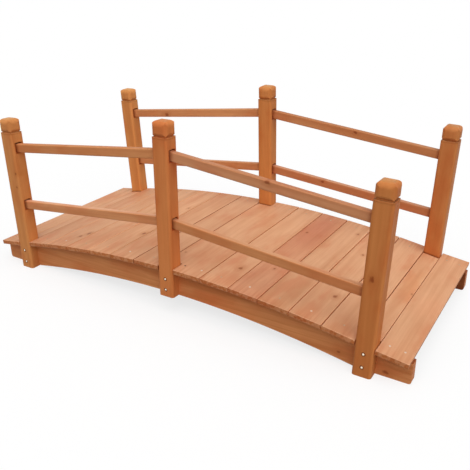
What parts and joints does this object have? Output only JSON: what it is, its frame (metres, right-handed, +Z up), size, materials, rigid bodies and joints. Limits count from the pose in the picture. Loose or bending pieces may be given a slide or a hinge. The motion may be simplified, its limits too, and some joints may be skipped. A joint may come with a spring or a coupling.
{
  "type": "low-arched wooden garden bridge",
  "caption": "Low-arched wooden garden footbridge: a planked deck on two arched bearers, with grooved-cap posts and straight double rails along both sides.",
  "frame": {"origin": "on the ground, under the middle of the bridge", "axes": "+X along the bridge, +Y across it to the back railing, +Z up"},
  "size_m": [1.526, 0.6778, 0.6073],
  "materials": {
    "deck_wood": "stained softwood, planed, satin",
    "post_wood": "stained softwood, planed, satin",
    "rail_wood": "stained softwood, planed, satin",
    "bearer_wood": "stained softwood, sawn arch, satin"
  },
  "bodies": {
    "root": {"bearer_front": "bearer_wood", "bearer_back": "bearer_wood", "board_end_left": "deck_wood", "board_filler_left": "deck_wood", "board_left_6": "deck_wood", "board_left_5": "deck_wood", "board_left_4": "deck_wood", "board_left_3": "deck_wood", "board_left_2": "deck_wood", "board_left_1": "deck_wood", "board_middle": "deck_wood", "board_right_1": "deck_wood", "board_right_2": "deck_wood", "board_right_3": "deck_wood", "board_right_4": "deck_wood", "board_right_5": "deck_wood", "board_filler_right": "deck_wood", "board_end_right": "deck_wood", "post_front_left": "post_wood", "post_front_middle": "post_wood", "post_front_right": "post_wood", "post_back_left": "post_wood", "post_back_middle": "post_wood", "post_back_right": "post_wood", "rail_front_left_upper": "rail_wood", "rail_front_left_lower": "rail_wood", "rail_front_right_upper": "rail_wood", "rail_front_right_lower": "rail_wood", "rail_back_left_upper": "rail_wood", "rail_back_left_lower": "rail_wood", "rail_back_right_upper": "rail_wood", "rail_back_right_lower": "rail_wood"}
  },
  "joints": []
}
